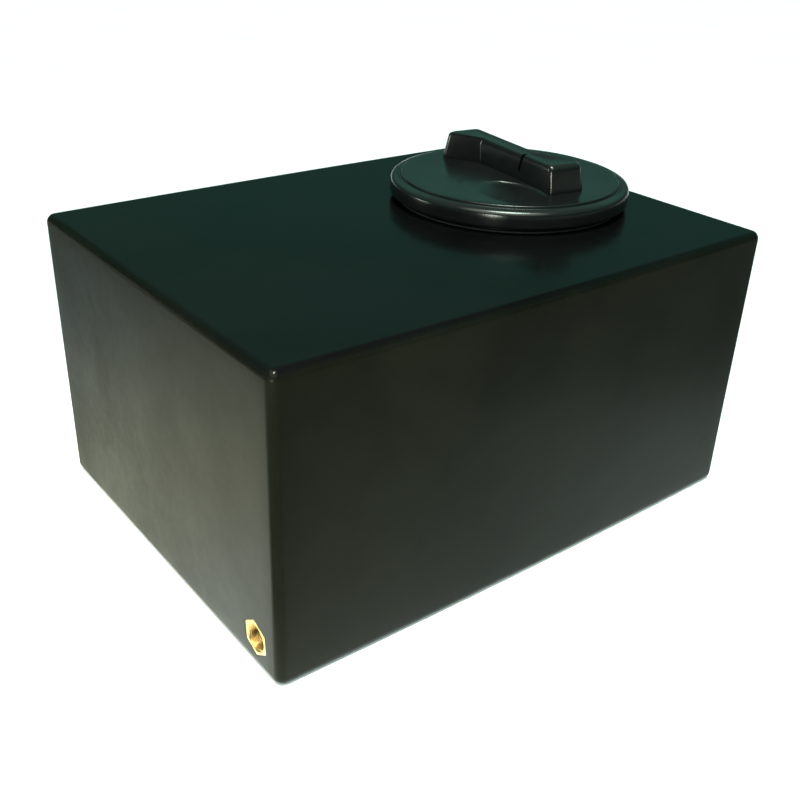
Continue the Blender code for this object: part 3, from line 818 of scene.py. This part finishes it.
class Nodes:
    """Short calls for building a material's node tree."""

    def __init__(self, name, roughness=0.4, metallic=0.0, specular=0.5):
        self.material = bpy.data.materials.new(name)
        self.material.use_nodes = True
        self.tree = self.material.node_tree
        self.shader = self.tree.nodes["Principled BSDF"]
        self.shader.inputs["Roughness"].default_value = roughness
        self.shader.inputs["Metallic"].default_value = metallic
        self.shader.inputs["Specular IOR Level"].default_value = specular
        self.coordinates = self.tree.nodes.new("ShaderNodeTexCoord").outputs["Object"]

    def link(self, source, node, socket):
        self.tree.links.new(source, node.inputs[socket])

    def stretched(self, scale):
        node = self.tree.nodes.new("ShaderNodeMapping")
        node.inputs["Scale"].default_value = scale
        self.link(self.coordinates, node, "Vector")
        return node.outputs["Vector"]

    def noise(self, scale, detail=3.0, rough=0.5, distortion=0.0, vector=None):
        node = self.tree.nodes.new("ShaderNodeTexNoise")
        node.inputs["Scale"].default_value = scale
        node.inputs["Detail"].default_value = detail
        node.inputs["Roughness"].default_value = rough
        node.inputs["Distortion"].default_value = distortion
        self.link(vector or self.coordinates, node, "Vector")
        return node.outputs["Fac"]

    def ramp(self, source, stops):
        node = self.tree.nodes.new("ShaderNodeValToRGB")
        set_stops(node.color_ramp, stops)
        self.link(source, node, "Fac")
        return node.outputs["Color"]

    def range(self, source, low, high, from_low=0.3, from_high=0.7):
        node = self.tree.nodes.new("ShaderNodeMapRange")
        node.inputs["From Min"].default_value = from_low
        node.inputs["From Max"].default_value = from_high
        node.inputs["To Min"].default_value = low
        node.inputs["To Max"].default_value = high
        self.link(source, node, "Value")
        return node.outputs["Result"]

    def add(self, one, other, factor=1.0):
        """One value plus the other times a factor."""
        node = self.tree.nodes.new("ShaderNodeMath")
        node.operation = "MULTIPLY_ADD"
        self.link(other, node, 0)
        node.inputs[1].default_value = factor
        self.link(one, node, 2)
        return node.outputs["Value"]

    def bump(self, source, distance, strength=1.0, after=None):
        node = self.tree.nodes.new("ShaderNodeBump")
        node.inputs["Distance"].default_value = distance
        node.inputs["Strength"].default_value = strength
        self.link(source, node, "Height")
        if after:
            self.link(after, node, "Normal")
        return node.outputs["Normal"]

    def axis(self, letter):
        node = self.tree.nodes.new("ShaderNodeSeparateXYZ")
        self.link(self.coordinates, node, "Vector")
        return node.outputs[letter]

    def times(self, one, other):
        node = self.tree.nodes.new("ShaderNodeMath")
        node.operation = "MULTIPLY"
        self.link(one, node, 0)
        self.link(other, node, 1)
        return node.outputs["Value"]

    def blend(self, share, one, other):
        """From one colour, at a share of 0, to the other."""
        node = self.tree.nodes.new("ShaderNodeMix")
        node.data_type = "RGBA"
        self.link(share, node, "Factor")
        self.tree.links.new(one, node.inputs[6])
        self.tree.links.new(other, node.inputs[7])
        return node.outputs[2]

    def finish(self, colour=None, roughness=None, normal=None):
        for source, socket in ((colour, "Base Color"), (roughness, "Roughness"), (normal, "Normal")):
            if source:
                self.link(source, self.shader, socket)
        return self.material


def grey(value, tint=(1.0, 1.0, 1.0)):
    return tuple(value * t for t in tint)


def tank_plastic():
    n = Nodes("black_polyethylene", specular=0.05)
    n.shader.inputs["Specular Tint"].default_value = (1.0, 1.0, 0.76, 1.0)
    clouds = n.noise(9.0, 4.0, 0.6, 0.6)
    grain = n.noise(420.0, 2.0, 0.5)
    specks = n.noise(90.0, 5.0, 0.7)
    mottle = n.add(clouds, specks, 0.15)
    # Painted light: the walls are coloured about three times lighter and olive against the darker top,
    # though the tank is one plastic; the lighter walls stand in for how the lamps fall on the sides
    painted_wall_light_tint = (1.0, 1.06, 0.60)
    top = n.ramp(mottle, [(0.35, grey(0.0010)), (0.75, grey(0.0018))])
    walls = n.ramp(mottle, [(0.35, grey(0.0034, painted_wall_light_tint)), (0.75, grey(0.0060, painted_wall_light_tint))])
    on_wall = n.range(n.axis("Z"), 1.0, 0.0, TANK_TOP - 0.009, TANK_TOP - 0.002)
    colour = n.blend(on_wall, top, walls)
    polish = n.add(n.range(clouds, 0.13, 0.24), n.range(specks, -0.03, 0.04))
    rough = n.add(polish, on_wall, 0.17)
    waves = n.bump(n.noise(22.0, 2.0, 0.5), 0.0006, 0.5)
    peel = n.bump(grain, 0.00006, 0.6, after=waves)
    return n.finish(colour, rough, peel)


def lid_plastic():
    n = Nodes("black_lid_plastic", specular=0.25)
    n.shader.inputs["Specular Tint"].default_value = (1.0, 1.0, 0.88, 1.0)
    clouds = n.noise(26.0, 3.0, 0.55)
    grain = n.noise(900.0, 2.0, 0.5)
    colour = n.ramp(clouds, [(0.3, grey(0.0024)), (0.7, grey(0.0038))])
    rough = n.range(n.noise(60.0, 4.0, 0.65), 0.17, 0.24)
    return n.finish(colour, rough, n.bump(grain, 0.00005, 0.7))


def rubber():
    n = Nodes("black_rubber", specular=0.35)
    colour = n.ramp(n.noise(120.0, 3.0), [(0.3, grey(0.016)), (0.7, grey(0.030))])
    rough = n.range(n.noise(200.0, 3.0), 0.62, 0.82)
    return n.finish(colour, rough, n.bump(n.noise(1500.0, 2.0), 0.00004, 0.6))


def steel():
    n = Nodes("stainless_steel", metallic=1.0)
    lines = n.noise(260.0, 3.0, 0.6, vector=n.stretched((1.0, 1.0, 14.0)))
    colour = n.ramp(n.noise(300.0, 3.0), [(0.3, (0.50, 0.49, 0.47)), (0.7, (0.66, 0.65, 0.62))])
    return n.finish(colour, n.range(lines, 0.22, 0.38), n.bump(lines, 0.00003, 0.5))


def brass():
    n = Nodes("machined_brass", metallic=1.0)
    lines = n.noise(160.0, 3.0, 0.6, vector=n.stretched((16.0, 1.0, 1.0)))
    patches = n.noise(140.0, 4.0, 0.6)
    stops = [(0.25, (0.60, 0.36, 0.10)), (0.5, (0.70, 0.48, 0.20)), (0.8, (0.76, 0.58, 0.33))]
    colour = n.ramp(patches, stops)
    rough = n.add(n.range(patches, 0.26, 0.38), n.range(lines, -0.03, 0.05))
    return n.finish(colour, rough, n.bump(lines, 0.00004, 0.5))


def floor_paint():
    """Pale, with painted shade (greyer) in the far left and near right corners beside the object, which
    darkens what the tank's walls reflect.
    """
    n = Nodes("pale_floor_painted_shade", roughness=0.7, specular=0.2)
    pale = n.ramp(n.noise(3.0, 3.0), [(0.3, grey(0.91)), (0.7, grey(0.93))])
    painted_floor_shade = n.ramp(n.noise(3.0, 3.0), [(0.3, grey(0.24)), (0.7, grey(0.26))])
    along, across = n.axis("X"), n.axis("Y")
    # Masks for the painted shade in the far left and near right floor corners
    left = n.times(n.range(along, 1.0, 0.0, -0.50, -0.32), n.range(across, 0.0, 1.0, 0.40, 0.95))
    right = n.range(n.add(across, along, -0.648), 0.80, 0.0, -0.74, -0.55)
    corner = n.add(left, right)
    return n.finish(n.blend(corner, pale, painted_floor_shade), n.range(n.noise(40.0), 0.6, 0.8))


# ---------------------------------------------------------------- pieces on their bodies

def dress(piece, body, node, look):
    """A finished piece rides on its body, stands for its node and takes its finish."""
    piece.data.materials.clear()
    piece.data.materials.append(look)
    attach(piece, body)
    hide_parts(node)
    return piece


def build_object():
    tank_look, lid_look, rubber_look = tank_plastic(), lid_plastic(), rubber()
    steel_look, brass_look = steel(), brass()
    dress(make_tank_shell(), "tank", "tank_shell", tank_look)
    dress(make_insert(), "tank", "outlet_insert", brass_look)
    dress(make_neck_ring(), "tank", "neck_ring", lid_look)
    dress(make_gasket(), "tank", "ring_gasket", rubber_look)
    for number, (x, y) in enumerate(bolt_places(), 1):
        screw = make_screw(f"socket_screw_{number}", x, y)
        dress(screw, "tank", f"neck_screw_{number}", steel_look)
        nut = make_nut(f"flange_nut_{number}", x, y)
        dress(nut, "tank", f"neck_nut_{number}", steel_look)
    dress(make_seal(), "seal", "lid_seal", rubber_look)
    dress(make_lid(), "lid", "lid", lid_look)
    dress(make_baffle(), "lid", "vent_baffle", lid_look)


# ---------------------------------------------------------------- studio

def make_floor():
    bm = bmesh.new()
    bmesh.ops.create_grid(bm, x_segments=8, y_segments=8, size=12.0)
    floor = to_object("studio_floor", bm)
    floor.data.materials.append(floor_paint())


def aimed(light, place_in_room, direction, toward):
    """Puts a light in its place with one of its axes along a direction."""
    light.location = place_in_room
    light.rotation_euler = direction.to_track_quat(toward, "Y").to_euler()
    bpy.context.scene.collection.objects.link(light)


def make_lights():
    sun = bpy.data.lights.new("overhead", "SUN")
    sun.angle = SUN_ANGLE
    sun.energy = SUN_STRENGTH
    aimed(bpy.data.objects.new("overhead", sun), (0.0, 0.0, 0.0), SUN_FROM, "Z")
    for name, start, aim, size, power, spread, colour in AREA_LIGHTS:
        data = bpy.data.lights.new(name, "AREA")
        data.shape = "RECTANGLE"
        data.size, data.size_y = size
        data.energy = power
        data.color = colour
        data.spread = math.radians(spread)
        aimed(bpy.data.objects.new(name, data), start, Vector(aim) - Vector(start), "-Z")


def make_world():
    """A room that is near black at eye level, green higher up and grey overhead."""
    world = bpy.data.worlds.new("room")
    world.use_nodes = True
    tree = world.node_tree
    background = tree.nodes["Background"]
    where = tree.nodes.new("ShaderNodeTexCoord").outputs["Generated"]
    split = tree.nodes.new("ShaderNodeSeparateXYZ")
    tree.links.new(where, split.inputs["Vector"])
    ramp = tree.nodes.new("ShaderNodeValToRGB")
    set_stops(ramp.color_ramp, ROOM_COLOURS)
    tree.links.new(split.outputs["Z"], ramp.inputs["Fac"])
    tree.links.new(ramp.outputs["Color"], background.inputs["Color"])
    background.inputs["Strength"].default_value = 1.0
    bpy.context.scene.world = world


def make_camera():
    data = bpy.data.cameras.new("camera")
    data.lens = CAMERA_LENS
    data.sensor_width = CAMERA_SENSOR
    camera = bpy.data.objects.new("camera", data)
    camera.matrix_world = Matrix(CAMERA_MATRIX)
    bpy.context.scene.collection.objects.link(camera)
    bpy.context.scene.camera = camera


def make_studio():
    make_floor()
    make_world()
    make_lights()
    bpy.context.scene.view_settings.view_transform = "Standard"


make_camera()
build_object()
make_studio()
